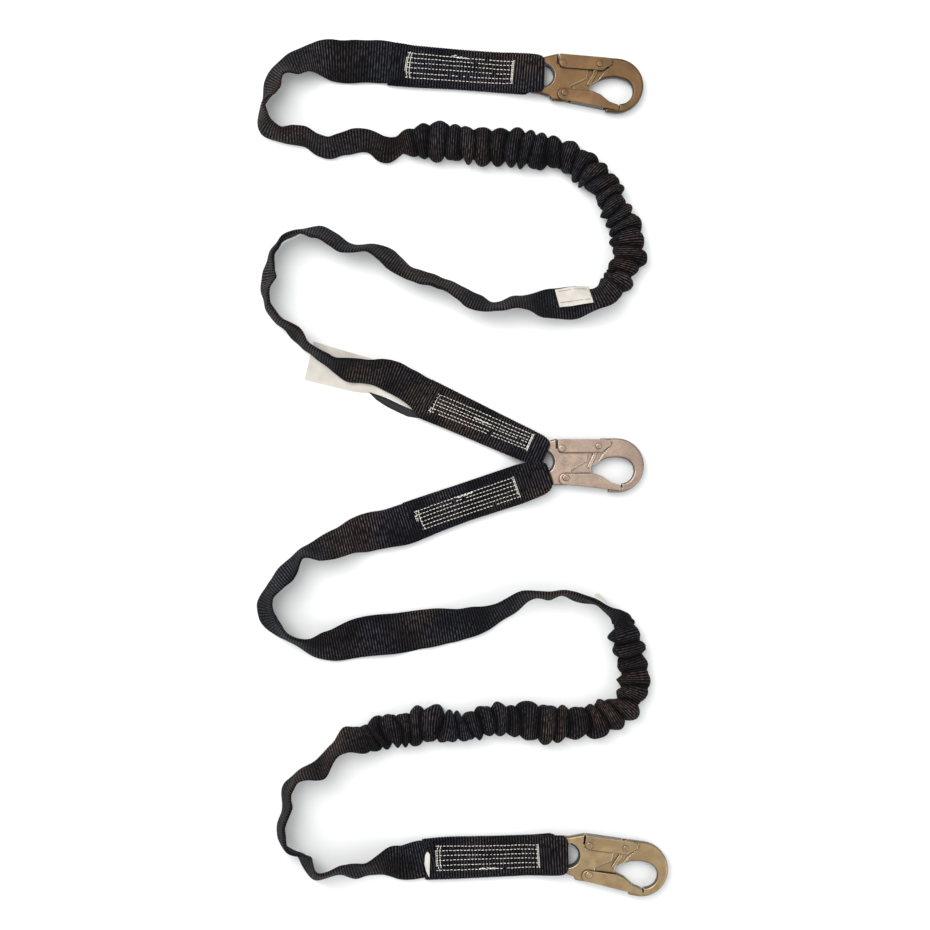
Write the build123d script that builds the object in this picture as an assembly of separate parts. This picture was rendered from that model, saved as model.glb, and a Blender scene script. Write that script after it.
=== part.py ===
from build123d import *
import math
import os

# Twin-leg shock absorbing lanyard, laid out flat on a surface.
# Millimetres, +Z up, origin at the bottom centre of the hooks and sewn ends taken together.

# ---- Driving dimensions -------------------------------------------------------------------

SURFACE_GAP = 0.8  # soft parts float this far above the surface, so a label fits under them

# Snap hook, measured from the axis of its eye bar: x to the nose, y to the spine
HOOK_MID_Z = 8.8  # height of the hook's middle plane, so that its rivet heads rest on z = 0
BODY_T = 10.0  # forged body thickness
BODY_ROUND = 2.0  # rounding of the forged edges
EYE_BAR_R = 5.0
EYE_HALF_W = 18.5  # half width of the eye, outside
WINDOW_HALF_W = 13.5  # half width of the eye's D window
WINDOW_CENTRE_X = 8.5
LINER_T = 1.9
BOWL_CENTRE = (86.2, -4.0)
BOWL_OUTER_R = 28.2
SPINE_Y = 24.2
RECESS_DEPTH = 2.2  # depth of the channel that the lock tongue moves in
SHEET_T = 2.0  # folded sheet of the gate and the lock lever
SHEET_GAP = 0.35  # between the body and the folded sheets
GATE_PIVOT = (33.1, -16.5)
LEVER_PIVOT = (67.0, 16.2)
STOP_PIN = (29.1, 13.7)
STOP_PIN_R = 1.6
PIN_R = 2.3
PIN_CLEARANCE = 0.3
RIVET_T = 1.2
GATE_HEAD_R = 3.3
LEVER_HEAD_R = 2.9
STOP_HEAD_R = 3.5
SPRING_WIRE_R = 0.5
SPRING_COIL_R = 3.7
SPRING_TURNS = 3
SPRING_SLOT_T = 5.0
GATE_SLOT_R = 11.8
LEVER_SLOT_R = 6.4

# Webbing: 44.5 mm tubular web, as a round tube where it is loose
WEB_R = 13.0
WEB_WALL = 2.5
CORE_W = 13.0
CORE_T = 4.5
ELASTIC_W = 9.0
ELASTIC_T = 1.4

# Sewn ends: folded back web, stitched flat
LOOP_INNER_R = 5.4
LOOP_OUTER_R = 8.3
SEWN_T = 9.0
SHOULDER_CLEAR = 8.6  # the sewn end flares only behind this, clear of the turning eye
THREAD_W = 0.7
THREAD_H = 0.5
STITCH_ROWS = 6
LABEL_T = 0.3

# Where each hook lies: eye bar centre and turn about z
HOOKS = {
    "upper_anchor": ((4.9, 409.8), -5.0),
    "harness": ((4.7, 7.4), 0.0),
    "lower_anchor": ((31.2, -400.5), -8.0),
}

# Sewn ends: hook, side step along its eye bar, loop width, front and rear centres, front and rear widths
SEWN_ENDS = {
    "upper_anchor": ("upper_anchor", 0.0, 25.6, (-21.9, 406.6), (-142.7, 422.8), 41, 44),
    "upper_harness": ("harness", 6.6, 12.2, (-24.9, 24.1), (-107.8, 72.6), 27, 43),
    "lower_harness": ("harness", -6.6, 12.2, (-23.9, -15.9), (-122.6, -55.2), 24, 43),
    "lower_anchor": ("lower_anchor", 0.0, 25.6, (4.1, -400.4), (-106.3, -405.7), 38, 43),
}

# Routes of the loose webbing, from the anchor end to the harness end of the upper leg,
# and from the harness end to the anchor end of the lower leg
UPPER_ROUTE = [
    (-142.7, 422.8), (-174, 425), (-204, 426), (-232, 422), (-256, 412), (-271, 395),
    (-277, 375), (-271, 355), (-254, 343), (-234, 342), (-213, 333), (-189, 338),
    (-167, 339), (-144, 329), (-118, 335), (-83, 339), (-46, 335), (-10, 332),
    (22, 327), (47, 317), (70, 301), (87, 278), (99, 253), (104, 229),
    (102, 207), (92, 188), (73, 176), (47, 173), (18, 171), (-11, 170),
    (-37, 166), (-62, 176), (-87, 188), (-114, 199), (-140, 209), (-165, 224),
    (-192, 230), (-218, 244), (-242, 242), (-261, 228), (-272, 207), (-271, 184),
    (-261, 162), (-247, 142), (-228, 123), (-204, 110), (-176, 101), (-148, 94),
    (-126, 83), (-107.8, 72.6),
]
LOWER_ROUTE = [
    (-122.6, -55.2), (-146, -63), (-170, -68), (-196, -76), (-221, -84), (-241, -96),
    (-257, -113), (-269, -130), (-273, -150), (-264, -168), (-243, -180), (-217, -187),
    (-189, -182), (-160, -175), (-128, -171), (-97, -166), (-68, -162), (-41, -154),
    (-18, -142), (4, -132), (28, -130), (53, -134), (76, -142), (93, -154),
    (101, -171), (105, -190), (112, -208), (111, -228), (99, -245), (79, -258),
    (52, -264), (21, -266), (-10, -262), (-41, -264), (-70, -272), (-97, -267),
    (-125, -269), (-151, -271), (-174, -281), (-197, -290), (-216, -307), (-237, -320),
    (-251, -337), (-254, -357), (-258, -377), (-253, -397), (-238, -413), (-217, -422),
    (-194, -420), (-169, -416), (-146, -410), (-127, -411), (-106.3, -405.7),
]
# The route point that each sewn end's rear face looks at
NEXT_POINTS = {
    "upper_anchor": UPPER_ROUTE[1],
    "upper_harness": UPPER_ROUTE[-2],
    "lower_harness": LOWER_ROUTE[1],
    "lower_anchor": LOWER_ROUTE[-2],
}
# First and last route points of each gathered stretch
UPPER_GATHER = (14, 25)
LOWER_GATHER = (23, 38)

# Labels, outline corners in plan
MAIN_LABEL = [(-225, 132.3), (-235.5, 92.8), (-181.4, 79.2), (-118, 64.5), (-123, 88), (-163.7, 115.6)]
LABEL_FLAP = [(-168, 86), (-170, 76.5), (-122, 53.5), (-119.5, 62), (-135, 76)]
UPPER_TAG = [(26.6, 186.4), (59.9, 189.5), (65.6, 170.2), (31.3, 166.6)]
LOWER_TAG_CENTRE = (69.1, -125.0)
LOWER_TAG_TURN = -19.0
TAG_SIZE = (33.0, 19.0)
END_LABEL = ((-100.4, -405.4), 6.0, 27.0)


# ---- Small helpers ------------------------------------------------------------------------

def plate(outline, thickness, middle=0.0):
    """Flat solid from a closed outline wire, centred on z = middle."""
    return Pos(0, 0, middle - thickness / 2) * extrude(make_face(outline), thickness)


def polygon_plate(corners, thickness, middle=0.0):
    return plate(Polyline(*corners, close=True), thickness, middle)


def rod(radius, length, at, middle=0.0):
    return Pos(at[0], at[1], middle) * Cylinder(radius, length)


def mirrored(solid):
    """A solid and its mirror image across the middle plane."""
    return [solid, mirror(solid, about=Plane.XY)]


def save(name, shape, tint):
    shape.label = name
    shape.color = Color(*tint)
    export_step(shape, f"parts/{name}.step")
    print(f"{name}: {shape.volume / 1000:.2f} cm3")


# ---- Snap hook ----------------------------------------------------------------------------

def hook_outline():
    """Outline of the forging, with the throat open at the gate."""
    bx, by = BOWL_CENTRE
    top = (bx, by + BOWL_OUTER_R)
    side = (bx + BOWL_OUTER_R, by)
    foot = (bx - 3, by - 28.0)
    return joined_wire(
        [
            Polyline((-5, 0), (-5, 12.5)),
            ThreePointArc((-5, 12.5), (-3.2, 16.8), (1.2, EYE_HALF_W)),
            Polyline((1.2, EYE_HALF_W), (8, 18.9), (15.2, 21.4), (23.9, SPINE_Y)),
            Polyline((23.9, SPINE_Y), (24.1, 14.2), (63, 19.4), (69.5, SPINE_Y), top),
            ThreePointArc(top, (bx + 19.9, by + 19.9), side),
            ThreePointArc(side, (bx + 18.5, by - 21.3), foot),
            Polyline(foot, (77, -32.0), (77.2, -26.4), (90.6, -27.2), (91.4, -22.6)),
            ThreePointArc((91.4, -22.6), (103.9, -9.5), (94.5, 3.1)),
            ThreePointArc((94.5, 3.1), (82, 4.3), (69.2, 0.6)),
            Polyline((69.2, 0.6), (60.9, -3.9), (58.9, -6.6), (59.3, -11.7), (41.6, -12.0)),
            ThreePointArc((41.6, -12.0), (39.4, -21.6), (33.1, -24.6)),
            Polyline((33.1, -24.6), (20.2, -24.6), (17.5, -21.0), (8, -18.9), (1.2, -EYE_HALF_W)),
            ThreePointArc((1.2, -EYE_HALF_W), (-3.2, -16.8), (-5, -12.5)),
            Polyline((-5, -12.5), (-5, 0)),
        ]
    )


def joined_wire(pieces):
    return Wire([edge for piece in pieces for edge in piece.edges()])


def window_outline():
    """D window of the eye: straight along the bar, round towards the nose."""
    half = WINDOW_HALF_W
    x = WINDOW_CENTRE_X
    return Wire(
        Polyline((x, half), (0, half), (0, -half), (x, -half)).edges()
        + ThreePointArc((x, -half), (x + half, 0), (x, half)).edges()
    )


def hook_body():
    body = plate(hook_outline(), BODY_T)
    rim = body.faces().sort_by(Axis.Z)
    edges = rim[-1].edges() + rim[0].edges()
    body = fillet(edges, BODY_ROUND)
    # eye: open window, with a round bar across its back
    eye_gap = polygon_plate([(-9, 13.2), (4, 13.2), (4, -13.2), (-9, -13.2)], BODY_T + 2)
    body = body - plate(window_outline(), BODY_T + 2) - eye_gap
    body = body + Rot(90, 0, 0) * Cylinder(EYE_BAR_R, 2 * WINDOW_HALF_W + 1)
    # channel on both faces for the lock tongue
    channel = polygon_plate(
        [
            (55.3, 15.5), (55.3, 9), (54.6, 0.9), (38.5, -8.8), (38.5, -14),
            (64, -14), (66, -2), (72, 8), (78.7, 15.5),
        ],
        RECESS_DEPTH + 1,
        BODY_T / 2 - RECESS_DEPTH / 2 + 0.5,
    )
    for side in mirrored(channel):
        body = body - side
    # slots for the two torsion springs, and the open slot of the stop pin
    body = body - rod(GATE_SLOT_R, SPRING_SLOT_T, GATE_PIVOT) - rod(LEVER_SLOT_R, SPRING_SLOT_T, LEVER_PIVOT)
    stop_slot = polygon_plate([(26.2, 20), (26.2, 9.3), (31.8, 9.3), (31.8, 20)], BODY_T + 2)
    body = body - stop_slot
    # pin holes
    body = body - rod(PIN_R, BODY_T + 2, GATE_PIVOT) - rod(PIN_R, BODY_T + 2, LEVER_PIVOT)
    return body.solids().sort_by(SortBy.VOLUME)[-1]


def eye_liner():
    """Thin moulded saddle round the far side of the eye window."""
    outer = WINDOW_HALF_W - 0.05
    ring = Cylinder(outer, BODY_T - 0.6) - Cylinder(outer - LINER_T, BODY_T)
    keep = Pos(outer / 2 + 2.2, 0, 0) * Box(outer, 2 * outer, BODY_T)
    return (Pos(WINDOW_CENTRE_X, 0, 0) * (ring & keep)).solids()[0]


def sheet_middle():
    """Height of the middle of a side cheek above the hook's middle plane."""
    return BODY_T / 2 + SHEET_GAP + SHEET_T / 2


def gate():
    """Folded sheet gate: two cheeks, a web along the outer edge, a bridge at the tip."""
    arc = ThreePointArc((33.1, -12.2), (26.2, -17.6), (33.1, -23.9))
    cheek_edge = Wire(
        arc.edges()
        + Polyline((33.1, -23.9), (89.4, -30.1), (91.0, -27.4), (90.0, -24.3), (80.2, -21.7)).edges()
        + Polyline((80.2, -21.7), (70.5, -15.0), (61.9, -12.2), (33.1, -12.2)).edges()
    )
    cheek = plate(cheek_edge, SHEET_T, sheet_middle())
    span = BODY_T + 2 * SHEET_GAP + 0.5
    web = polygon_plate([(41.5, -24.8), (41.5, -22.8), (74.6, -26.5), (74.6, -28.4)], span)
    bridge = polygon_plate([(79.4, -21.6), (89.2, -24.2), (89.2, -26.3), (79.4, -23.9)], span)
    solid = web + bridge
    for side in mirrored(cheek):
        solid = solid + side
    outer_edges = [
        e for e in solid.edges()
        if abs(abs(e.center().Z) - (sheet_middle() + SHEET_T / 2)) < 0.01
    ]
    solid = fillet(outer_edges, 0.8)
    return (solid - rod(PIN_R + PIN_CLEARANCE, 30, GATE_PIVOT)).solids()[0]


def lock_lever():
    """Folded sheet lever over the spine, with a tongue down each side of the body."""
    corner = ThreePointArc((24.7, 15.1), (26.2, 10.8), (30.5, 9.3))
    cheek_edge = Wire(
        corner.edges()
        + Polyline((30.5, 9.3), (69.9, 9.7), (79.8, 17.0), (80.2, 22.0), (73, 23.6)).edges()
        + Polyline((73, 23.6), (24.7, 23.6), (24.7, 15.1)).edges()
    )
    cheek = plate(cheek_edge, SHEET_T, sheet_middle())
    span = BODY_T + 2 * SHEET_GAP + 0.5
    web = polygon_plate([(24.7, 21.7), (24.7, 23.6), (62.5, 23.6), (62.5, 21.7)], span)
    tongue_t = 1.5
    tongue_z = BODY_T / 2 - RECESS_DEPTH + 0.35 + tongue_t / 2
    tongue = polygon_plate(
        [(61.3, 12.4), (61.6, 7.4), (55.4, -5.4), (58.2, -6.8), (64.6, 6.2), (65.2, 12.0)], tongue_t, tongue_z
    )
    step = polygon_plate(
        [(61.4, 12.4), (61.6, 9.8), (65.0, 9.8), (65.2, 12.0)], 1.4, tongue_z + tongue_t / 2 + 0.4
    )
    solid = web
    for piece in (cheek, tongue, step):
        for side in mirrored(piece):
            solid = solid + side
    outer_edges = [
        e for e in solid.edges()
        if abs(abs(e.center().Z) - (sheet_middle() + SHEET_T / 2)) < 0.01
    ]
    solid = fillet(outer_edges, 0.8)
    solid = solid - rod(PIN_R + PIN_CLEARANCE, 30, LEVER_PIVOT) - rod(STOP_PIN_R, 30, STOP_PIN)
    return solid.solids()[0]


def headed_pin(at, head_r, gap, pin_r=PIN_R):
    """Rivet through both cheeks, with a low domed head on each face."""
    grip = 2 * (BODY_T / 2 + SHEET_GAP + SHEET_T + gap)
    pin = rod(pin_r, grip, at)
    for face in (1, -1):
        head = rod(head_r, RIVET_T, at, face * (grip + RIVET_T) / 2)
        pin = pin + head
    rims = [e for e in pin.edges() if abs(abs(e.center().Z) - (grip / 2 + RIVET_T)) < 0.01]
    return fillet(rims, 0.7)


def torsion_spring(at, arm_from, arm_to):
    """Three turns of round wire about a pin, with a straight arm to the sheet's web."""
    pitch = 2 * SPRING_WIRE_R + 0.25
    coil_path = Helix(pitch, pitch * SPRING_TURNS, SPRING_COIL_R)
    start = coil_path @ 0
    section = Plane(origin=start, z_dir=coil_path % 0) * Circle(SPRING_WIRE_R)
    coil = Pos(at[0], at[1], -pitch * SPRING_TURNS / 2) * sweep(section, coil_path)
    path = Line((*arm_from, 0), (*arm_to, 0))
    arm = sweep(Plane(origin=path @ 0, z_dir=path % 0) * Circle(SPRING_WIRE_R), path)
    return (coil + arm).solids().sort_by(SortBy.VOLUME)[-1]


def snap_hook(prefix, at, turn):
    place = Pos(at[0], at[1], HOOK_MID_Z) * Rot(0, 0, turn)
    steel = (0.62, 0.52, 0.40)
    gx, gy = GATE_PIVOT
    lx, ly = LEVER_PIVOT
    save(f"{prefix}_hook_body", place * hook_body(), steel)
    save(f"{prefix}_eye_liner", place * eye_liner(), (0.05, 0.05, 0.05))
    save(f"{prefix}_gate", place * gate(), steel)
    save(f"{prefix}_gate_pin", place * headed_pin(GATE_PIVOT, GATE_HEAD_R, 0.15), steel)
    gate_spring = torsion_spring(GATE_PIVOT, (gx + 1.2, gy - SPRING_COIL_R), (gx + 9.4, gy - 5.6))
    save(f"{prefix}_gate_spring", place * gate_spring, (0.6, 0.6, 0.6))
    save(f"{prefix}_lock_lever", place * lock_lever(), steel)
    save(f"{prefix}_lever_pin", place * headed_pin(LEVER_PIVOT, LEVER_HEAD_R, 0.15), steel)
    save(f"{prefix}_lever_stop_pin", place * headed_pin(STOP_PIN, STOP_HEAD_R, 0.0, STOP_PIN_R), steel)
    lever_spring = torsion_spring(LEVER_PIVOT, (lx - 1.2, ly + SPRING_COIL_R), (lx - 5.0, ly + 4.8))
    save(f"{prefix}_lever_spring", place * lever_spring, (0.6, 0.6, 0.6))


# ---- Sewn ends ----------------------------------------------------------------------------

def upright_rect(centre, heading, width, low, high):
    """Vertical rectangle across a heading, as a sketch for a loft."""
    direction = Vector(math.cos(heading), math.sin(heading), 0)
    across = Vector(-direction.Y, direction.X, 0)
    plane = Plane(origin=(centre[0], centre[1], (low + high) / 2), x_dir=across, z_dir=direction)
    return plane * Rectangle(width, high - low)


def sewn_end(hook, side_step, loop_w, front, rear, front_w, rear_w, next_point):
    """Loop round the eye bar, flaring back into the flat stitched slab."""
    bar, turn = HOOKS[hook]
    angle = math.radians(turn)
    place = Pos(bar[0], bar[1], HOOK_MID_Z) * Rot(0, 0, turn) * Pos(0, side_step, 0)
    back = SHOULDER_CLEAR
    ring = Rot(90, 0, 0) * Cylinder(LOOP_OUTER_R, loop_w)
    tail = Pos(-back / 2, 0, 0) * Box(back, loop_w, 2 * LOOP_OUTER_R)
    loop = place * (ring + tail)
    hole = place * Rot(90, 0, 0) * Cylinder(LOOP_INNER_R, loop_w + 2)
    root = (
        bar[0] - back * math.cos(angle) - side_step * math.sin(angle),
        bar[1] - back * math.sin(angle) + side_step * math.cos(angle),
    )
    low = HOOK_MID_Z - LOOP_OUTER_R
    heading = math.atan2(rear[1] - front[1], rear[0] - front[0])
    leaving = math.atan2(next_point[1] - rear[1], next_point[0] - rear[0])
    flare = loft(
        [
            upright_rect(root, math.pi + angle, loop_w, low, low + 2 * LOOP_OUTER_R),
            upright_rect(front, heading, front_w, SURFACE_GAP, SURFACE_GAP + SEWN_T),
        ],
        ruled=True,
    )
    slab = loft(
        [
            upright_rect(front, heading, front_w, SURFACE_GAP, SURFACE_GAP + SEWN_T),
            upright_rect(rear, leaving, rear_w, SURFACE_GAP, SURFACE_GAP + SEWN_T),
        ],
        ruled=True,
    )
    return (loop + flare + slab - hole).solids().sort_by(SortBy.VOLUME)[-1]


def stitching(front, rear, front_w, rear_w):
    """Rows of thread along the slab, closed by a run across each end."""
    heading = math.degrees(math.atan2(front[1] - rear[1], front[0] - rear[0]))
    length = math.dist(front, rear)
    margin = 12.0
    row_length = length - margin - 6.0
    block_w = 0.52 * min(front_w, rear_w)
    pieces = []
    for row in range(STITCH_ROWS):
        y = (row / (STITCH_ROWS - 1) - 0.5) * block_w
        pieces.append(Pos(margin + row_length / 2, y, 0) * Box(row_length, THREAD_W, THREAD_H))
    for x in (margin, margin + row_length):
        pieces.append(Pos(x, 0, 0) * Box(THREAD_W, block_w + THREAD_W, THREAD_H))
    block = pieces[0]
    for piece in pieces[1:]:
        block = block + piece
    height = SURFACE_GAP + SEWN_T + THREAD_H / 2
    return (Pos(rear[0], rear[1], height) * Rot(0, 0, heading) * block).solids()[0]


# ---- Loose webbing ------------------------------------------------------------------------

def route_radii(points):
    """Largest arc that each corner's two runs allow."""
    radii = []
    for before, here, after in zip(points, points[1:], points[2:]):
        entering = Vector(here[0] - before[0], here[1] - before[1], 0)
        leaving = Vector(after[0] - here[0], after[1] - here[1], 0)
        turn = math.radians(entering.get_angle(leaving))
        shorter = min(entering.length, leaving.length)
        radii.append(0.45 * shorter / math.tan(turn / 2))
    return radii


def route_path(points, height):
    radii = route_radii(points)
    return FilletPolyline(*[(x, y, height) for x, y in points], radius=radii)


def swept(section, path):
    profile = Plane(origin=path @ 0, x_dir=(path % 0).cross(Vector(0, 0, 1)), z_dir=path % 0) * section
    return sweep(profile, path).solids()[0]


def middle_of(a, b):
    return ((a[0] + b[0]) / 2, (a[1] + b[1]) / 2)


def gathered_points(points, first, last):
    """The stretch of a route from the middle of one run to the middle of another."""
    start = middle_of(points[first], points[first + 1])
    end = middle_of(points[last - 1], points[last])
    return [start] + points[first + 1:last] + [end]


def leg(name, points, gather):
    centre = SURFACE_GAP + WEB_R
    path = route_path(points, centre)
    section = Circle(WEB_R) - Circle(WEB_R - WEB_WALL)
    jacket = swept(section, path)
    radii = route_radii(points)
    length = path.length
    print(f"{name}: length {length:.0f}, radii " + " ".join(f"{r:.0f}" for r in radii))
    print(f"{name}: volume over section x length {jacket.volume / (section.area * length):.4f}")
    save(f"{name}_tubular_webbing", jacket, (0.08, 0.08, 0.08))
    core_path = route_path(points, SURFACE_GAP + 7.2)
    save(f"{name}_absorber_core", swept(Rectangle(CORE_W, CORE_T), core_path), (0.85, 0.80, 0.60))
    stretch = gathered_points(points, *gather)
    elastic_path = route_path(stretch, SURFACE_GAP + 15.0)
    save(f"{name}_elastic_band", swept(Rectangle(ELASTIC_W, ELASTIC_T), elastic_path), (0.9, 0.9, 0.88))


# ---- Labels -------------------------------------------------------------------------------

def flat_label(corners, low, thickness=LABEL_T):
    return polygon_plate(corners, thickness, low + thickness / 2)


def labels():
    white = (0.92, 0.92, 0.90)
    save("main_label", flat_label(MAIN_LABEL, 0.0), white)
    save("label_cover_flap", flat_label(LABEL_FLAP, LABEL_T + 0.05), (0.06, 0.06, 0.06))
    save("upper_leg_tag", flat_label(UPPER_TAG, SURFACE_GAP + 2 * WEB_R), white)
    x, y = LOWER_TAG_CENTRE
    width, height = TAG_SIZE
    turned = Pos(x, y, SURFACE_GAP + WEB_R) * Rot(0, 0, LOWER_TAG_TURN)
    save("lower_leg_tag", turned * Box(width, LABEL_T, height), white)
    centre, end_w, end_h = END_LABEL
    oval = Ellipse(end_w / 2, end_h / 2)
    oval_label = Pos(centre[0], centre[1], SURFACE_GAP + SEWN_T) * extrude(oval, LABEL_T)
    save("lower_anchor_end_label", oval_label, white)


# ---- Build --------------------------------------------------------------------------------

def main():
    os.makedirs("parts", exist_ok=True)
    for prefix, (at, turn) in HOOKS.items():
        snap_hook(prefix, at, turn)
    for name, (hook, step, loop_w, front, rear, front_w, rear_w) in SEWN_ENDS.items():
        black = (0.08, 0.08, 0.08)
        sewn = sewn_end(hook, step, loop_w, front, rear, front_w, rear_w, NEXT_POINTS[name])
        save(f"{name}_sewn_end", sewn, black)
        save(f"{name}_stitching", stitching(front, rear, front_w, rear_w), (0.95, 0.95, 0.92))
    leg("upper_leg", UPPER_ROUTE, UPPER_GATHER)
    leg("lower_leg", LOWER_ROUTE, LOWER_GATHER)
    labels()


main()
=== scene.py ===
# %% [markdown]
# # A twin-leg shock absorbing lanyard, laid out flat
# Two legs of black tubular webbing run from a shared harness hook to one anchor hook each.
# The steel hooks come from the CAD frame. Everything woven is built here, around that frame.

import math

import bpy
import numpy as np
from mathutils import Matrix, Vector


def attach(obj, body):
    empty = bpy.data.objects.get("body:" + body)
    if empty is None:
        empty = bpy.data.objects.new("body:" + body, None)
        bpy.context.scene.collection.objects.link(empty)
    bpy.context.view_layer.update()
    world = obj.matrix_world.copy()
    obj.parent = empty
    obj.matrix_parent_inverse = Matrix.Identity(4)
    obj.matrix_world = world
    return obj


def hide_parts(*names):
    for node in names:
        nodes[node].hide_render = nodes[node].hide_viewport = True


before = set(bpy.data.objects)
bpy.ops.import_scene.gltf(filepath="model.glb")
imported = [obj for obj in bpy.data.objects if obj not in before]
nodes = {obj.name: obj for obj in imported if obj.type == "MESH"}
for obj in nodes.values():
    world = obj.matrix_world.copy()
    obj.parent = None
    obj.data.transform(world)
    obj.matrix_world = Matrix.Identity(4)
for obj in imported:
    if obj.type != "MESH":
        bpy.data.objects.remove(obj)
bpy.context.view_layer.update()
MM = 0.001

# %% [markdown]
# ## Camera
# The lanyard is seen from straight above, as a flat lay on a bench. A longish lens some way up keeps
# the hooks at the far ends from leaning outwards.

# %% Camera
PICTURE_WIDTH = 967 * MM
LENS = 70.0
SENSOR = 36.0
VIEW_CENTRE = (-66.9 * MM, 3.9 * MM)
HOOK_TOP_Z = 12 * MM


def place_in_scene(name, data):
    """A new object for a mesh, curve, lamp or camera, linked into the scene."""
    placed = bpy.data.objects.new(name, data)
    bpy.context.scene.collection.objects.link(placed)
    return placed


camera_data = bpy.data.cameras.new("camera")
camera_data.lens = LENS
camera_data.sensor_width = SENSOR
camera = place_in_scene("camera", camera_data)
camera.location = (*VIEW_CENTRE, PICTURE_WIDTH * LENS / SENSOR + HOOK_TOP_Z)
bpy.context.scene.camera = camera
print("camera height", round(camera.location.z, 3))

# %% [markdown]
# ## The two routes
# Each leg is one length of web. Its route is a list of points: x, y and how wide
# the web looks from above there, all in millimetres. Where the web looks narrow it stands on edge
# or is rolled, and where it looks wide it lies flat.

# %% Routes of the loose webbing
UPPER_ROUTE = [
    (-142.7, 422.8, 44), (-174, 425, 44), (-204, 426, 43), (-232, 422, 33), (-256, 412, 23),
    (-271, 395, 21), (-277, 375, 11), (-271, 355, 12), (-254, 343, 11), (-234, 342, 17),
    (-213, 333, 23), (-189, 338, 21), (-167, 339, 25), (-144, 329, 21), (-118, 335, 27),
    (-83, 339, 34), (-46, 335, 33), (-10, 332, 37), (22, 327, 34), (47, 317, 28),
    (70, 301, 31), (87, 278, 26), (99, 253, 29), (104, 229, 33), (102, 207, 31),
    (92, 188, 26), (73, 176, 24), (47, 173, 37), (18, 171, 32), (-11, 170, 19),
    (-37, 166, 12), (-62, 176, 21), (-87, 188, 19), (-114, 199, 21), (-140, 209, 25),
    (-165, 224, 17), (-192, 230, 14), (-218, 244, 19), (-242, 242, 10), (-261, 228, 10),
    (-272, 207, 15), (-271, 184, 12), (-261, 162, 10), (-247, 142, 10), (-228, 123, 12),
    (-204, 110, 15), (-176, 101, 25), (-148, 94, 31), (-126, 83, 36), (-107.8, 72.6, 41),
]
LOWER_ROUTE = [
    (-122.6, -55.2, 42), (-146, -63, 42), (-170, -68, 41), (-196, -76, 35), (-221, -84, 21),
    (-241, -96, 14), (-257, -113, 22), (-269, -130, 21), (-273, -150, 23), (-264, -168, 19),
    (-243, -180, 14), (-217, -187, 28), (-189, -182, 41), (-160, -175, 43), (-128, -171, 44),
    (-97, -166, 42), (-68, -162, 38), (-41, -154, 29), (-18, -142, 21), (4, -132, 15),
    (28, -130, 9), (53, -134, 10), (76, -142, 10), (93, -154, 17), (101, -171, 31),
    (105, -190, 38), (112, -208, 33), (111, -228, 31), (99, -245, 36), (79, -258, 33),
    (52, -264, 32), (21, -266, 37), (-10, -262, 36), (-41, -264, 34), (-70, -272, 26),
    (-97, -267, 36), (-125, -269, 36), (-151, -271, 33), (-174, -281, 25), (-197, -290, 19),
    (-216, -307, 14), (-237, -320, 9), (-251, -337, 10), (-254, -357, 12), (-258, -377, 11),
    (-253, -397, 12), (-238, -413, 12), (-217, -422, 13), (-194, -420, 17), (-169, -416, 25),
    (-146, -410, 35), (-127, -411, 38), (-106.3, -405.7, 43),
]
# How far the cloth reaches to the left and to the right of its route, every 13 mm or so
UPPER_EDGES = [
    (21, 23), (21, 24), (21, 23), (23, 23), (23, 21), (21, 24), (16, 24), (12, 20), (14, 19), (5, 16),
    (12, 12), (13, 6), (4, 6), (5, 10), (6, 12), (6, 6), (11, 5), (14, 7), (10, 9), (7, 11), (9, 10),
    (13, 10), (14, 10), (10, 12), (10, 12), (14, 3), (24, 14), (23, 16), (21, 16), (22, 17), (18, 12),
    (15, 18), (23, 17), (18, 14), (23, 16), (20, 16), (17, 15), (18, 16), (16, 14), (17, 10), (22, 18),
    (12, 15), (16, 11), (14, 14), (14, 15), (12, 14), (18, 20), (17, 17), (16, 18), (13, 17), (7, 18),
    (10, 19), (13, 14), (15, 15), (18, 17), (20, 18), (19, 18), (16, 15), (9, 13), (5, 12), (4, 9),
    (7, 6), (11, 9), (11, 11), (7, 11), (6, 10), (6, 9), (8, 8), (10, 9), (10, 13), (6, 16), (2, 15),
    (2, 10), (7, 7), (10, 9), (9, 10), (5, 11), (2, 8), (0, 8), (-2, 8), (1, 8), (9, 7), (12, 7),
    (4, 11), (-1, 12), (-1, 9), (4, 7), (10, 6), (8, 4), (5, 5), (6, 6), (7, 9), (9, 13), (13, 13),
    (17, 12), (20, 12), (22, 14), (21, 14), (21, 15), (22, 20),
]
LOWER_EDGES = [
    (22, 21), (22, 21), (20, 21), (19, 22), (19, 22), (17, 21), (16, 16), (15, 12), (12, 11), (2, 10),
    (8, 10), (12, 10), (8, 9), (6, 10), (9, 15), (11, 12), (10, 6), (7, 5), (7, 7), (10, 9), (16, 14),
    (19, 18), (22, 18), (24, 18), (24, 19), (23, 20), (22, 21), (22, 21), (22, 20), (21, 20), (21, 19),
    (20, 19), (18, 17), (17, 14), (15, 13), (12, 11), (12, 8), (12, 5), (8, 4), (5, 8), (6, 0), (7, 5),
    (6, 6), (5, 2), (4, 5), (10, 7), (13, 18), (17, 16), (13, 17), (11, 16), (17, 20), (16, 20),
    (12, 9), (16, 14), (17, 17), (16, 16), (15, 18), (15, 18), (15, 19), (18, 19), (19, 20), (19, 19),
    (13, 16), (11, 18), (14, 20), (10, 20), (15, 10), (13, 17), (16, 20), (18, 18), (17, 19), (17, 14),
    (13, 19), (18, 15), (16, 13), (7, 19), (3, 10), (9, 7), (14, 7), (7, 7), (0, 8), (2, 10), (10, 6),
    (8, 5), (4, 7), (5, 6), (7, 1), (15, -2), (19, 3), (5, 11), (7, 7), (13, 3), (12, 11), (10, 10),
    (16, 12), (21, 17), (20, 19), (21, 20), (21, 21),
]
UPPER_GATHER = (13.6, 25.2)  # first and last route point of the gathered stretch
LOWER_GATHER = (23.2, 37.8)
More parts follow.
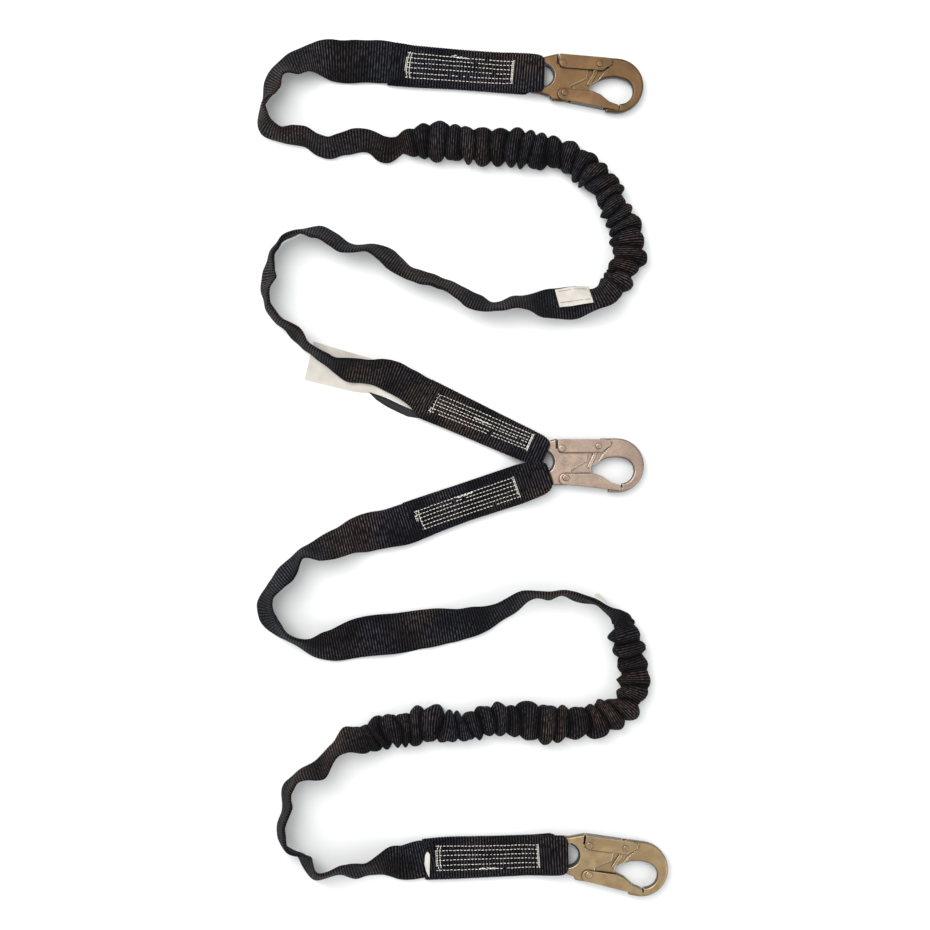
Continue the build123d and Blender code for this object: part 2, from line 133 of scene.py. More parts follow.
WEB_WIDTH = 44.5  # tubular web laid flat
WEB_T = 5.2  # both plies and the core inside
FLOOR_GAP = 0.8
STANDING_CHORD = 31.0  # a web on edge sags and curls, so it stands lower than its width


def standing_height(width):
    """Height that the web reaches where it looks this wide from above."""
    chord = STANDING_CHORD + (WEB_WIDTH - STANDING_CHORD) * np.asarray(width) / WEB_WIDTH
    lying = np.clip((WEB_WIDTH - np.asarray(width, float)) / 14, 0, 1)
    return np.sqrt(np.maximum(chord**2 - np.asarray(width, float) ** 2, 0.0)) * lying * (2 - lying)


def route_curve(name, points):
    """The leg's centreline: one open NURBS spline with the route's points as control points."""
    data = bpy.data.curves.new(name, "CURVE")
    data.dimensions = "3D"
    spline = data.splines.new("NURBS")
    spline.points.add(len(points) - 1)
    for control, (x, y, width) in zip(spline.points, points):
        z = FLOOR_GAP + (standing_height(width) + WEB_T) / 2
        control.co = (x * MM, y * MM, float(z) * MM, 1)
    spline.order_u = 3
    spline.use_endpoint_u = True
    spline.resolution_u = 24
    curve = place_in_scene(name, data)
    bpy.context.view_layer.update()
    mesh = bpy.data.meshes.new_from_object(curve)
    line = np.array([v.co[:] for v in mesh.vertices]) / MM
    bpy.data.objects.remove(curve)
    bpy.data.meshes.remove(mesh)
    return line


upper_line = route_curve("upper_route", UPPER_ROUTE)
lower_line = route_curve("lower_route", LOWER_ROUTE)


def line_length(line):
    return float(np.linalg.norm(np.diff(line, axis=0), axis=1).sum())


print("leg lengths, mm:", round(line_length(upper_line)), round(line_length(lower_line)))

# %% [markdown]
# ## Small helpers
# Every strap here is a closed section carried along a line. One function makes the mesh from a
# grid of points, with the woven length and width stored as a UV map in metres, so that a rib
# pattern can follow the cloth wherever it goes.

# %% Mesh helpers


def smooth(values, reach):
    """Moving average with a soft window, over 2 * reach + 1 samples."""
    window = np.hanning(2 * reach + 3)[1:-1]
    window /= window.sum()
    padded = np.concatenate([np.full(reach, values[0]), values, np.full(reach, values[-1])])
    return np.convolve(padded, window, mode="valid")


def running_length(line):
    steps = np.linalg.norm(np.diff(line, axis=0), axis=1)
    return np.concatenate([[0.0], np.cumsum(steps)])


def slow_noise(s, seed, wavelength, count=5):
    """Smooth repeatable wander between about -1 and 1 along s."""
    rng = np.random.default_rng(seed)
    total = np.zeros_like(s, dtype=float)
    for _ in range(count):
        scale = wavelength * rng.uniform(0.6, 1.8)
        total += np.sin(2 * np.pi * s / scale + rng.uniform(0, 2 * np.pi))
    return total / math.sqrt(count) / 1.2


def mesh_piece(name, vertices, faces, rounded=True):
    """An object from vertices in metres and faces, shaded smooth or flat."""
    mesh = bpy.data.meshes.new(name)
    mesh.from_pydata(vertices, [], faces)
    mesh.polygons.foreach_set("use_smooth", [rounded] * len(faces))
    return place_in_scene(name, mesh)


def grid_mesh(name, grid, u, v, crest=None):
    """Closed tube from grid[ring, point] in mm, capped at both ends, with u and v in mm."""
    rings, around, _ = grid.shape
    vertices = (grid.reshape(-1, 3) * MM).tolist()
    faces = []
    corners = []
    for i in range(rings - 1):
        for j in range(around):
            k = (j + 1) % around
            faces.append((i * around + j, i * around + k, (i + 1) * around + k, (i + 1) * around + j))
            corners.extend(((i, j), (i, j + 1), (i + 1, j + 1), (i + 1, j)))
    first = tuple(reversed(range(around)))
    last = tuple(range((rings - 1) * around, rings * around))
    faces.extend((first, last))
    corners.extend((0, j) for j in first)
    corners.extend((rings - 1, j) for j in range(around))
    piece = mesh_piece(name, vertices, faces)
    mesh = piece.data
    ring_index = np.array([c[0] for c in corners])
    point_index = np.array([c[1] for c in corners])
    u_closed = np.concatenate([u, u[:, :1]], axis=1)
    v_closed = np.concatenate([v, v[:, :1] + (v[:, -1:] - v[:, :1]) * around / (around - 1)], axis=1)
    uv = np.stack([u_closed[ring_index, point_index], v_closed[ring_index, point_index]], axis=1)
    layer = mesh.uv_layers.new(name="cloth")
    layer.data.foreach_set("uv", (uv * MM).ravel())
    # crest here is the painted fold shade of the gathered web, kept on every point for the web material
    if crest is not None:
        fold_shade_layer = mesh.attributes.new("crest", "FLOAT", "POINT")
        fold_shade_layer.data.foreach_set("value", np.ascontiguousarray(crest, dtype=float).ravel())
    mesh.update()
    return piece


# %% [markdown]
# ## The loose webbing
# A tubular web lies as a flat double ply. Along its plain stretches it rolls from flat to on edge
# and back. Along the gathered stretch an elastic inside pulls it short, so it swells into a round
# sleeve and folds into close ridges. Both shapes share one section, blended along the length.

# %% Shape of one leg
AROUND = 72
GATHER_HEIGHT = 25.0
RIDGE_DEPTH = 8.0
RIDGE_SPACING = (9.5, 20.0)
FARTHEST = 29.5  # no cloth strays farther than this from its route
TUCK = 9  # rings that run on under the sewn end's top ply


def cloth_edges(line, edges, gather):
    """Left and right reach at every sample; the gathered part keeps only its slow swell."""
    table = np.array(edges, float)
    s = running_length(line)
    at = np.linspace(0, s[-1], len(table))
    reaches = []
    for column in (0, 1):
        raw = np.interp(s, at, table[:, column])
        crisp = smooth(raw, 6)
        slow = smooth(raw, 22)
        reaches.append(crisp * (1 - gather) + slow * gather)
    return reaches


def route_position(line, points):
    """Which route point each sample is at, as a number that runs on between the points."""
    near = [np.argmin(np.linalg.norm(line[:, :2] - (x, y), axis=1)) for x, y, _ in points]
    near[0], near[-1] = 0, len(line) - 1
    return np.interp(np.arange(len(line)), np.maximum.accumulate(near), np.arange(len(points)))


def gather_share(position, limits):
    """0 on the plain web, 1 on the gathered web, easing over about one route point."""
    rise = np.clip(position - limits[0] + 0.5, 0, 1)
    fall = np.clip(limits[1] + 0.5 - position, 0, 1)
    share = rise * fall
    return share * share * (3 - 2 * share)


def soft_power(values, power):
    return np.sign(values) * np.abs(values) ** power


def run_on(line, count):
    """The line carried straight on past both ends, one ring every millimetre."""
    start, stop = line[0] - line[3], line[-1] - line[-4]
    first = line[0] + start / np.linalg.norm(start) * np.arange(count, 0, -1)[:, None]
    last = line[-1] + stop / np.linalg.norm(stop) * np.arange(1, count + 1)[:, None]
    return np.concatenate([first, line, last])


def ridges(s, slant, seed, spacing, power):
    """Rounded crests with sharp valleys, unevenly spaced: height 0 to 1, and each crest's lean times its
    height.
    """
    rng = np.random.default_rng(seed)
    at = [-80.0]
    while at[-1] < s[-1] + 80:
        at.append(at[-1] + rng.uniform(*spacing))
    phase = np.interp(s[:, None] + slant, at, np.arange(len(at)))
    number = np.floor(phase).astype(int)
    strength = rng.uniform(0.62, 1.15, len(at) + 1)[number]
    lean = rng.uniform(-1, 1, len(at) + 1)[number]
    crest = np.abs(np.sin(np.pi * phase)) ** power
    return crest * strength, lean * crest


def leg_shape(line, points, edges, limits, seed):
    """Grid of surface points, and the frame that the straps inside follow."""
    gather = smooth(gather_share(route_position(line, points), limits), 6)
    left, right = cloth_edges(line, edges, gather)
    left, right, gather = (np.pad(a, TUCK, mode="edge") for a in (left, right, gather))
    line = run_on(line, TUCK)
    s = running_length(line)
    width = np.maximum(left + right, 6.5)
    tucked = np.minimum(np.arange(len(s)), np.arange(len(s))[::-1])
    width -= 3.0 * (tucked < TUCK)
    shift = (left - right) / 2
    tangent = np.gradient(line, axis=0)
    tangent[:, 2] = 0
    tangent /= np.linalg.norm(tangent, axis=1)[:, None]
    side = np.stack([-tangent[:, 1], tangent[:, 0], np.zeros(len(line))], axis=1)
    up = np.array([0.0, 0.0, 1.0])
    height = smooth(standing_height(width), 5)
    run = np.maximum(width - WEB_T * 0.6 * np.minimum(1, height / 15), 3.0)
    roll = np.arctan2(height, run)
    chord = np.hypot(height, run)
    lying = FLOOR_GAP + (height + WEB_T) / 2
    theta = np.linspace(0, 2 * np.pi, AROUND, endpoint=False)
    cos, sin = np.cos(theta), np.sin(theta)
    cup_at = 2.4 * slow_noise(s, seed, 90) + 1.0
    twist_at = 1.6 * slow_noise(s, seed + 1, 40)
    dent_at = 1.5 * slow_noise(s, seed + 2, 26)

    def bow(across):
        """How far the web bows out of its own plane at a place across it."""
        edge = across / (WEB_WIDTH / 2)
        return cup_at[:, None] * (edge**2 - 0.4) + twist_at[:, None] * edge + dent_at[:, None] * (1 - edge**2)

    across = chord[:, None] / 2 * soft_power(cos, 0.85)
    out = WEB_T / 2 * soft_power(sin, 0.55) + bow(across)
    plain_side = across * np.cos(roll)[:, None] - out * np.sin(roll)[:, None]
    plain_up = across * np.sin(roll)[:, None] + out * np.cos(roll)[:, None] + lying[:, None]
    # gathered web: a soft sleeve thrown into fat ridges, crossed by a few slanting folds
    turning = smooth(np.gradient(np.unwrap(np.arctan2(tangent[:, 1], tangent[:, 0]))), 12)
    bent = np.clip(np.abs(turning) * 60, 0, 1)
    tilt = (1.0 + 5.0 * bent + 2.0 * np.clip(slow_noise(s, seed + 3, 60), 0, 1))[:, None]
    slant = tilt * np.sin(theta + 2.2 * slow_noise(s, seed + 4, 80)[:, None])
    slant += 1.1 * np.sin(2 * theta + 3.0 * slow_noise(s, seed + 5, 55)[:, None])
    crest, lean = ridges(s, slant, seed + 6, RIDGE_SPACING, 0.62)
    cross_slant = 11 * np.sin(theta + 1.5 * slow_noise(s, seed + 7, 120)[:, None])
    cross, _ = ridges(s, cross_slant, seed + 8, (13.0, 24.0), 0.8)
    reach = RIDGE_DEPTH * (crest - 0.72) + (1.0 + 2.6 * bent)[:, None] * (cross - 0.6)
    half = width[:, None] / 2 + 0.8 + reach * 0.8
    rise = GATHER_HEIGHT / 2 + reach * 0.85
    round_side = half * soft_power(cos, 0.85) + 3.0 * lean
    round_up = rise * soft_power(sin, 0.85) + FLOOR_GAP + GATHER_HEIGHT / 2
    g = gather[:, None]
    sideways = plain_side * (1 - g) + round_side * g + shift[:, None]
    upward = plain_up * (1 - g) + round_up * g
    base = line.copy()
    base[:, 2] = 0
    grid = base[:, None, :] + side[:, None, :] * sideways[:, :, None] + up * upward[:, :, None]
    away = grid - line[:, None, :]
    distance = np.linalg.norm(away, axis=2, keepdims=True)
    grid = line[:, None, :] + away * np.minimum(1, FARTHEST / np.maximum(distance, 1))
    grid[:, :, 2] = np.maximum(grid[:, :, 2], FLOOR_GAP)
    steps = np.linalg.norm(np.diff(grid, axis=0), axis=2).mean(axis=1)
    woven = np.concatenate([[0.0], np.cumsum(steps)])
    u = woven[:, None] + slant * g * 0.35
    v = np.tile(theta / (2 * np.pi) * 2 * WEB_WIDTH, (len(line), 1))
    centre = base + side * shift[:, None]
    centre[:, 2] = lying * (1 - gather) + (FLOOR_GAP + GATHER_HEIGHT / 2) * gather
    # painted fold shade: 1 on the plain web and on ridge crests, darker in the valleys between gathered
    # ridges
    shade = 1 - g * np.clip(1.15 - 1.3 * crest, 0, 1)
    return {"grid": grid, "u": u, "v": v, "crest": shade, "side": side, "roll": roll * (1 - gather),
            "gather": gather, "centre": centre, "bow": bow}


def leg(name, line, points, edges, limits, seed):
    shape = leg_shape(line, points, edges, limits, seed)
    piece = grid_mesh(name, shape["grid"], shape["u"], shape["v"], shape["crest"])
    print(name, "rings", len(shape["u"]), "top of web, mm:", round(float(shape["grid"][:, :, 2].max()), 1))
    return piece, shape


upper_leg, upper_shape = leg("upper_leg_webbing", upper_line, UPPER_ROUTE, UPPER_EDGES, UPPER_GATHER, 11)
lower_leg, lower_shape = leg("lower_leg_webbing", lower_line, LOWER_ROUTE, LOWER_EDGES, LOWER_GATHER, 47)

# %% [markdown]
# ## The straps inside
# The shock absorbing core and the elastic band run inside the web. They follow the same line and
# roll with it, thin enough to stay between the plies.

# %% Core strap and elastic


def inner_strap(name, shape, width, thickness, offset, first=TUCK, last=-TUCK):
    """A thin flat strap between the plies, bowed as they are, offset along the web's face."""
    centre, side, roll = shape["centre"], shape["side"], shape["roll"]
    stations = np.linspace(-0.5, 0.5, 6) * width
    section = [(a, 0.5) for a in stations] + [(a, -0.5) for a in stations[::-1]]
    across = np.tile([a for a, _ in section], (len(roll), 1))
    layer = np.array([b for _, b in section])
    out = shape["bow"](across) * (1 - shape["gather"])[:, None] + layer * thickness + offset
    sideways = across * np.cos(roll)[:, None] - out * np.sin(roll)[:, None]
    upward = across * np.sin(roll)[:, None] + out * np.cos(roll)[:, None]
    grid = centre[:, None, :] + side[:, None, :] * sideways[:, :, None]
    grid[:, :, 2] += upward
    grid[:, :, 2] = np.maximum(grid[:, :, 2], FLOOR_GAP + 1.0)
    grid = grid[first:last]
    s = running_length(centre[first:last])
    u = np.tile(s[:, None], (1, len(section)))
    return grid_mesh(name, grid, u, across[first:last])


def gathered_range(shape):
    inside = np.flatnonzero(shape["gather"] > 0.5)
    return int(inside[0]), int(inside[-1])


CORE = (14, 1.2, -0.5)  # width, thickness and offset from the middle of the web
ELASTIC = (10, 0.6, 0.8)
upper_core = inner_strap("upper_leg_core", upper_shape, *CORE)
lower_core = inner_strap("lower_leg_core", lower_shape, *CORE)
upper_elastic = inner_strap("upper_leg_elastic", upper_shape, *ELASTIC, *gathered_range(upper_shape))
lower_elastic = inner_strap("lower_leg_elastic", lower_shape, *ELASTIC, *gathered_range(lower_shape))
print("straps inside the web: 2 cores, 2 elastics")

# %% [markdown]
# ## Sewn ends
# At each hook the web passes through the eye, folds back on itself and is sewn to itself. So each
# sewn end is one ribbon: along the floor, round the eye bar, and back along the top. The rows of
# thread pull the top ply down a little, which is modelled, since a low light shows it.

# %% Hook places and sewn end stations
HOOK_MID = 8.8
HOOKS = {
    "upper_anchor": ((4.9, 409.8), -5.0),
    "harness": ((4.7, 7.4), 0.0),
    "lower_anchor": ((31.2, -400.5), -8.0),
}
LOOP_R = 7.0  # from the bar's axis to the middle of the ply
LOOP_T = 3.0  # the ply squeezed thinner where it passes the eye
PLY_T = 4.3

# Stations back from the bar: distance, x, y, width. The first is at the bar itself.
SEWN_STATIONS = {
    "upper_anchor": [
        (0, 4.9, 410.3, 40), (26, -20.5, 412.6, 41.5), (57, -51.8, 414.8, 41), (80, -75.5, 416.6, 41),
        (128, -123.2, 420.0, 43), (144, -139.4, 422.1, 44.5), (152, -147, 422.8, 44.5),
    ],
    "upper_harness": [
        (0, 4.7, 21.1, 33), (12, -6.2, 26.0, 34.5), (60, -49.7, 46.2, 37.5), (90, -76.9, 58.8, 39.5),
        (127, -110.5, 74.0, 42.5),
    ],
    "lower_harness": [
        (0, 4.7, -10.9, 38.5), (12, -6.6, -14.6, 40), (22, -16.0, -18.0, 40.5), (78, -68.6, -35.4, 39.5),
        (110, -98.6, -46.0, 41), (139, -125.5, -56.2, 43),
    ],
    "lower_anchor": [
        (0, 31.2, -401.0, 42), (26, 5.5, -402.7, 41.5), (63, -31.9, -404.3, 42), (111, -79.9, -405.9, 43.5),
        (126, -95.2, -406.6, 43), (142, -111.0, -407.8, 42),
    ],
}
SEWN_HOOK = {
    "upper_anchor": "upper_anchor",
    "upper_harness": "harness",
    "lower_harness": "harness",
    "lower_anchor": "lower_anchor",
}
# side step along the bar, and width inside the eye
WINDOW = {
    "upper_anchor": (0.0, 25.0),
    "upper_harness": (6.6, 12.0),
    "lower_harness": (-6.6, 12.0),
    "lower_anchor": (0.0, 25.0),
}
# middle and width of the web's front edge, where it bulges over the shoulders of the eye
FRONT_EDGE = {
    "upper_anchor": ((15.6, 410.0), 31),
    "upper_harness": ((17.4, 15.4), 22),
    "lower_harness": ((21.5, -4.8), 21),
    "lower_anchor": ((40.2, -400.9), 32),
}
# rows of thread: first and last distance behind the bar, half spread there, and drift off the middle
STITCH_BLOCK = {
    "upper_anchor": (23, 132, 11.6, 13.0, 0.3, 0.0),
    "upper_harness": (6.5, 116, 8.3, 9.8, -4.2, 0.0),
    "lower_harness": (20, 129, 10.6, 10.2, 2.0, 2.0),
    "lower_anchor": (22, 126.5, 11.3, 12.5, 0.0, -1.0),
}
STITCH_ROWS = 6
print("sewn end lengths, mm:", {name: stations[-1][0] for name, stations in SEWN_STATIONS.items()})

# %% [markdown]
# ## The path of a sewn ribbon
# The ribbon is a list of rings: flat under the hook, narrowed through the eye window, round the
# bar, out over the shoulders of the eye and back along the top. Following the real order of the
# web means that its loop closes round the bar wherever the hook lies.

# %% Rings of a sewn end


def ease(x):
    x = np.clip(x, 0, 1)
    return x * x * (3 - 2 * x)


def plan_of(stations, d):
    """Centre and width at a distance behind the bar, through the stations."""
    table = np.array(stations, float)
    fine = np.linspace(0, table[-1, 0], 400)
    columns = [smooth(np.interp(fine, table[:, 0], table[:, k]), 14) for k in (1, 2, 3)]
    return [np.interp(np.clip(d, 0, None), fine, c) for c in columns]


def frame_of(stations, d):
    """Middle, heading towards the rear, sideways direction and width at distances behind the bar."""
    x, y, width = plan_of(stations, d)
    ahead = plan_of(stations, np.asarray(d) + 1.0)
    behind = plan_of(stations, np.maximum(np.asarray(d) - 1.0, 0))
    heading = np.stack([ahead[0] - behind[0], ahead[1] - behind[1]], axis=-1)
    heading /= np.linalg.norm(heading, axis=-1)[..., None]
    side = np.stack([-heading[..., 1], heading[..., 0]], axis=-1)
    return np.stack([x, y], axis=-1), heading, side, width


SETTLE = 0.9  # the cut end of the top ply is pressed down by its seam


def ring_list(name, stations):
    """Rings from the rear of the bottom ply, round the bar, to the rear of the top ply.

    Each ring is middle, sideways direction, outward normal, width and thickness.
    """
    bar, turn = HOOKS[SEWN_HOOK[name]]
    angle = math.radians(turn)
    step, window_w = WINDOW[name]
    (front_x, front_y), front_w = FRONT_EDGE[name]
    nose = np.array([math.cos(angle), math.sin(angle)])
    along_bar = np.array([math.sin(angle), -math.cos(angle)])
    window = np.array(bar) - along_bar * step
    flat = np.arange(0, stations[-1][0], 0.75)
    middle, heading, side, width = frame_of(stations, flat)
    near = 1 - ease((flat - 3) / 24)
    thick = PLY_T + (LOOP_T - PLY_T) * near
    bottom_z = FLOOR_GAP + thick / 2
    rear = ease((stations[-1][0] - flat) / 7)
    shoulder_z = HOOK_MID + LOOP_R + 0.6
    drop = (FLOOR_GAP + 1.5 * PLY_T - shoulder_z) * ease((flat - 2) / 36)
    top_z = shoulder_z + drop - SETTLE * (1 - rear)
    rings = []
    narrow = 1 - ease(flat / 9)
    into_window = (np.array(window) - middle) * narrow[:, None]
    for i in range(len(flat) - 1, -1, -1):
        turn_side = side[i] * (1 - narrow[i]) + along_bar * narrow[i]
        low = bottom_z[i] + (HOOK_MID - LOOP_R - bottom_z[i]) * narrow[i]
        w = width[i] + (window_w - width[i]) * narrow[i]
        rings.append((*(middle[i] + into_window[i]), low, *turn_side, 0, 0, -1, w, thick[i]))
    start = middle[0]
    front = np.array([front_x, front_y])
    reach = front - start
    ahead = reach / np.linalg.norm(reach)
    front_side = np.array([ahead[1], -ahead[0]])
    bar_front = window + nose * LOOP_R

    def key(place, z, sideways, forward, down_or_up, w, t):
        n = np.array([*(ahead * forward), down_or_up])
        n /= np.linalg.norm(n)
        return (*place, z, *sideways, *n, w, t)

    half_way = (front_side + along_bar) / 2
    rings += [
        key(window + nose * 4.6, HOOK_MID - 5.2, along_bar, 0.7, -0.7, window_w, 2.8),
        key(bar_front, HOOK_MID, along_bar, 1, 0, window_w, 2.8),
        key(window + nose * 7.4, HOOK_MID + 3.4, along_bar, 1, -0.1, window_w, 2.2),
        key(window + nose * 7.9, 14.2, half_way, 0.8, -0.6, window_w + 1, 1.0),
        key(start + reach * 0.72, 14.75, front_side, 0.2, -1, front_w * 0.85, 1.0),
        key(start + reach * 0.93, 14.95, front_side, 0.5, -0.9, front_w * 0.82, 1.0),
        key(front, 15.6, front_side, 1, 0, front_w * 0.86, 1.3),
        key(start + reach * 0.97, 16.3, front_side, 0.6, 0.8, front_w, 1.5),
        key(start + reach * 0.82, 16.6, front_side, 0.15, 1, front_w + 0.45 * (width[0] - front_w), 2.0),
        key(start + reach * 0.6, 16.6, front_side, 0, 1, front_w + 0.78 * (width[0] - front_w), 2.6),
        key(start + reach * 0.3, 16.5, front_side, 0, 1, front_w + 0.95 * (width[0] - front_w), 3.0),
    ]
    for i in range(len(flat)):
        rings.append((*middle[i], top_z[i], *side[i], 0, 0, 1, width[i], thick[i] * (0.45 + 0.55 * rear[i])))
    return np.array(rings), len(flat)


# %% [markdown]
# ## The sewn ribbon itself
# A closed section runs along those rings. It carries the raised cords of the weave, a slow
# unevenness, a shallow furrow under every row of thread, and small pleats where the web is bunched
# to pass through the eye.

# %% Sewn ribbons
RIB_PITCH = 2.9  # raised cords of the weave, across the web
RIB_HEIGHT = 0.3
FURROW_DEPTH = 0.5
PLEAT_DEPTH, PLEAT_PITCH = 0.55, 7.5


def sewn_ribbon(name, stations):
    rings, count = ring_list(name, stations)
    gaps = np.linalg.norm(np.diff(rings[:, :3], axis=0), axis=1)
    coarse = np.concatenate([[0.0], np.cumsum(gaps)])
    fine = [0.0]
    for a, b in zip(coarse[:-1], coarse[1:]):
        pieces = max(1, round((b - a) / 0.8))
        fine.extend(a + (b - a) * (k + 1) / pieces for k in range(pieces))
    fine = np.array(fine)
    rings = np.stack([np.interp(fine, coarse, rings[:, c]) for c in range(rings.shape[1])], axis=1)
    loop = (fine > coarse[count - 1] - 2) & (fine < coarse[count + 11] + 2)
    soft = np.stack([smooth(rings[:, c], 2) for c in range(rings.shape[1])], axis=1)
    rings = np.where(loop[:, None], soft, rings)
    line = rings[:, :3]
    side = np.concatenate([rings[:, 3:5], np.zeros((len(rings), 1))], axis=1)
    side /= np.linalg.norm(side, axis=1)[:, None]
    normal = rings[:, 5:8] / np.linalg.norm(rings[:, 5:8], axis=1)[:, None]
    width, thickness = rings[:, 8], rings[:, 9]
    theta = np.linspace(0, 2 * np.pi, 64, endpoint=False)
    cos, sin = np.cos(theta), np.sin(theta)
    s = running_length(line)
    across = width[:, None] / 2 * soft_power(cos, 0.6)
    ribs = RIB_HEIGHT * np.cos(2 * np.pi * s / RIB_PITCH)[:, None]
    across = across + ribs * np.abs(cos) ** 3 * np.sign(cos)
    top_ply = fine > coarse[count + 10]
    bulge = 0.6 * slow_noise(s, 7 * len(name), 30)[:, None] * (1 - np.abs(cos) ** 4)
    out = thickness[:, None] / 2 * soft_power(sin, 0.5) + bulge * top_ply[:, None] * 0.6
    behind = np.where(top_ply, s - s[np.argmax(top_ply)], 0)
    start, stop, half_front, half_rear, drift_front, drift_rear = STITCH_BLOCK[name]
    share = np.clip((behind - start) / (stop - start), 0, 1)
    half = half_front + (half_rear - half_front) * share
    drift = drift_front + (drift_rear - drift_front) * share
    in_rows = ease((behind - start + 3) / 3) * ease((stop + 4 - behind) / 3) * top_ply
    dimple = np.zeros_like(across)
    for k in np.linspace(-1, 1, STITCH_ROWS):
        dimple += np.exp(-(((across - (k * half + drift)[:, None]) / 1.2) ** 2))
    grid = line[:, None, :] + side[:, None, :] * across[:, :, None] + normal[:, None, :] * out[:, :, None]
    grid[:, :, 2] -= FURROW_DEPTH * dimple * in_rows[:, None] * (sin > 0)
    # pleats where the web is bunched to pass through the eye
    bunched = np.exp(-((behind / 13) ** 2)) * top_ply
    pleat = PLEAT_DEPTH * np.cos(2 * np.pi * across / PLEAT_PITCH + 0.6)
    grid[:, :, 2] += pleat * bunched[:, None] * (np.abs(cos) < 0.9)
    grid[:, :, 2] = np.maximum(grid[:, :, 2], 0.25)
    u = np.tile(s[:, None], (1, len(theta)))
    v = np.tile(theta / (2 * np.pi) * 2 * WEB_WIDTH, (len(s), 1))
    piece = grid_mesh(f"{name}_sewn_web", grid, u, v)
    print(piece.name, "rings", len(s), "top, mm:", round(float(grid[:, :, 2].max()), 1))
    return piece


sewn_webs = {name: sewn_ribbon(name, stations) for name, stations in SEWN_STATIONS.items()}

# %% [markdown]
# ## Thread
# White bonded polyester thread holds each sewn end: six rows along the web, joined at both ends,
# with the end nearer the leg sewn twice. Every stitch is its own small lozenge of thread, sunk at
# both tips, because at this size the eye reads the dashes and not the twist.

# %% Stitches
STITCH_PITCH = 3.7
STITCH_LENGTH = 2.7
THREAD_R = 0.37
SKIPPED = 0.03  # share of stitches hidden or missing


def stitch_mesh(name, places):
    """One mesh of many stitches. Each place is centre, direction, length."""
    sides, stations = 8, [(-0.5, 0.35), (-0.36, 0.85), (0.0, 1.0), (0.36, 0.85), (0.5, 0.35)]
    vertices, faces = [], []
    for centre, direction, length in places:
        direction = Vector(direction).normalized()
        side = direction.cross(Vector((0, 0, 1))).normalized()
        base = len(vertices)
        for t, r in stations:
            dip = -0.55 * (2 * t) ** 4
            for k in range(sides):
                a = 2 * math.pi * k / sides
                point = Vector(centre) + direction * t * length + side * math.cos(a) * r * THREAD_R
                point.z += math.sin(a) * r * THREAD_R * 0.8 + dip
                vertices.append(tuple(c * MM for c in point))
        for i in range(len(stations) - 1):
            for k in range(sides):
                n = (k + 1) % sides
                faces.append((base + i * sides + k, base + i * sides + n,
                              base + (i + 1) * sides + n, base + (i + 1) * sides + k))
        faces.append(tuple(base + k for k in reversed(range(sides))))
        faces.append(tuple(base + (len(stations) - 1) * sides + k for k in range(sides)))
    return mesh_piece(name, vertices, faces)


def stitches(name, stations, seed):
    rng = np.random.default_rng(seed)
    start, stop, half_front, half_rear, drift_front, drift_rear = STITCH_BLOCK[name]
    flat_top = FLOOR_GAP + 2 * PLY_T + 0.2
    shoulder = HOOK_MID + LOOP_R + 0.6 - FLOOR_GAP - 1.5 * PLY_T

    def place(d, row, along_web):
        """Where a stitch sits: d behind the bar, row from -1 to 1 across the block."""
        middle, heading, side, _ = (a[0] for a in frame_of(stations, np.array([d])))
        share = (d - start) / (stop - start)
        half = half_front + (half_rear - half_front) * share
        across = row * half + drift_front + (drift_rear - drift_front) * share
        lift = shoulder * (1 - float(ease((d - 2) / 36)))
        centre = Vector((*(middle + side * across), flat_top + lift))
        heading, side = Vector((*heading, 0)), Vector((*side, 0))
        straight, skew = (heading, side) if along_web else (side, heading)
        return centre, straight + skew * rng.normal(0, 0.05)

    places = []
    for row in np.linspace(-1, 1, STITCH_ROWS):
        wander = rng.uniform(-0.035, 0.035)
        bow = rng.uniform(-0.04, 0.04)
        for d in np.arange(start, stop, STITCH_PITCH) + rng.uniform(0, 2):
            if rng.random() < SKIPPED:
                continue
            share = (d - start) / (stop - start)
            across = row + wander + bow * math.sin(math.pi * share) + rng.normal(0, 0.008)
            places.append((*place(float(d), float(across), True), STITCH_LENGTH * rng.uniform(0.88, 1.1)))
    bars = ((start - 0.5, 1.0), (start + 0.8, 0.8), (stop, 1.0), (stop - 2.8, 0.85), (stop + 1.4, 0.55))
    for d, reach in bars:
        for across in np.arange(-reach, reach + 0.05, 2.5 / half_rear):
            rounding = -1.8 * abs(across) ** 4 if d > start + 5 else 0.0
            places.append((*place(float(d + rounding), float(across), False), 2.5))
    # a run of back-stitching where the seam was locked off
    for k in range(12):
        d = start + 0.42 * (stop - start) + k * 1.5
        places.append((*place(float(d), float(LOCKED_ROW[name] + rng.normal(0, 0.05)), True), 2.4))
    piece = stitch_mesh(f"{name}_stitches", places)
    print(piece.name, len(places), "stitches")
    return piece


# the row that was locked off on each block, from -1 to 1 across it
LOCKED_ROW = {"upper_anchor": -0.98, "upper_harness": -0.15, "lower_harness": -0.9, "lower_anchor": 0.98}
thread_rows = {}
for i, (name, stations) in enumerate(SEWN_STATIONS.items()):
    thread_rows[name] = stitches(name, stations, 5 + i)

# %% [markdown]
# ## Labels
# The big label is two leaves of coated white film, tucked under the upper leg beside its sewn end,
# with a black cover flap. The small tags are sewn to the legs. Film keeps a soft wave and never
# lies dead flat, so each leaf is a fine grid with a slow curl.

# %% Labels
FILM_T = 0.35


def along_edge(points, share):
    """A point part of the way along a run of points, by length."""
    table = np.array(points, float)
    at = running_length(table)
    return np.array([np.interp(share * at[-1], at, table[:, k]) for k in (0, 1)])


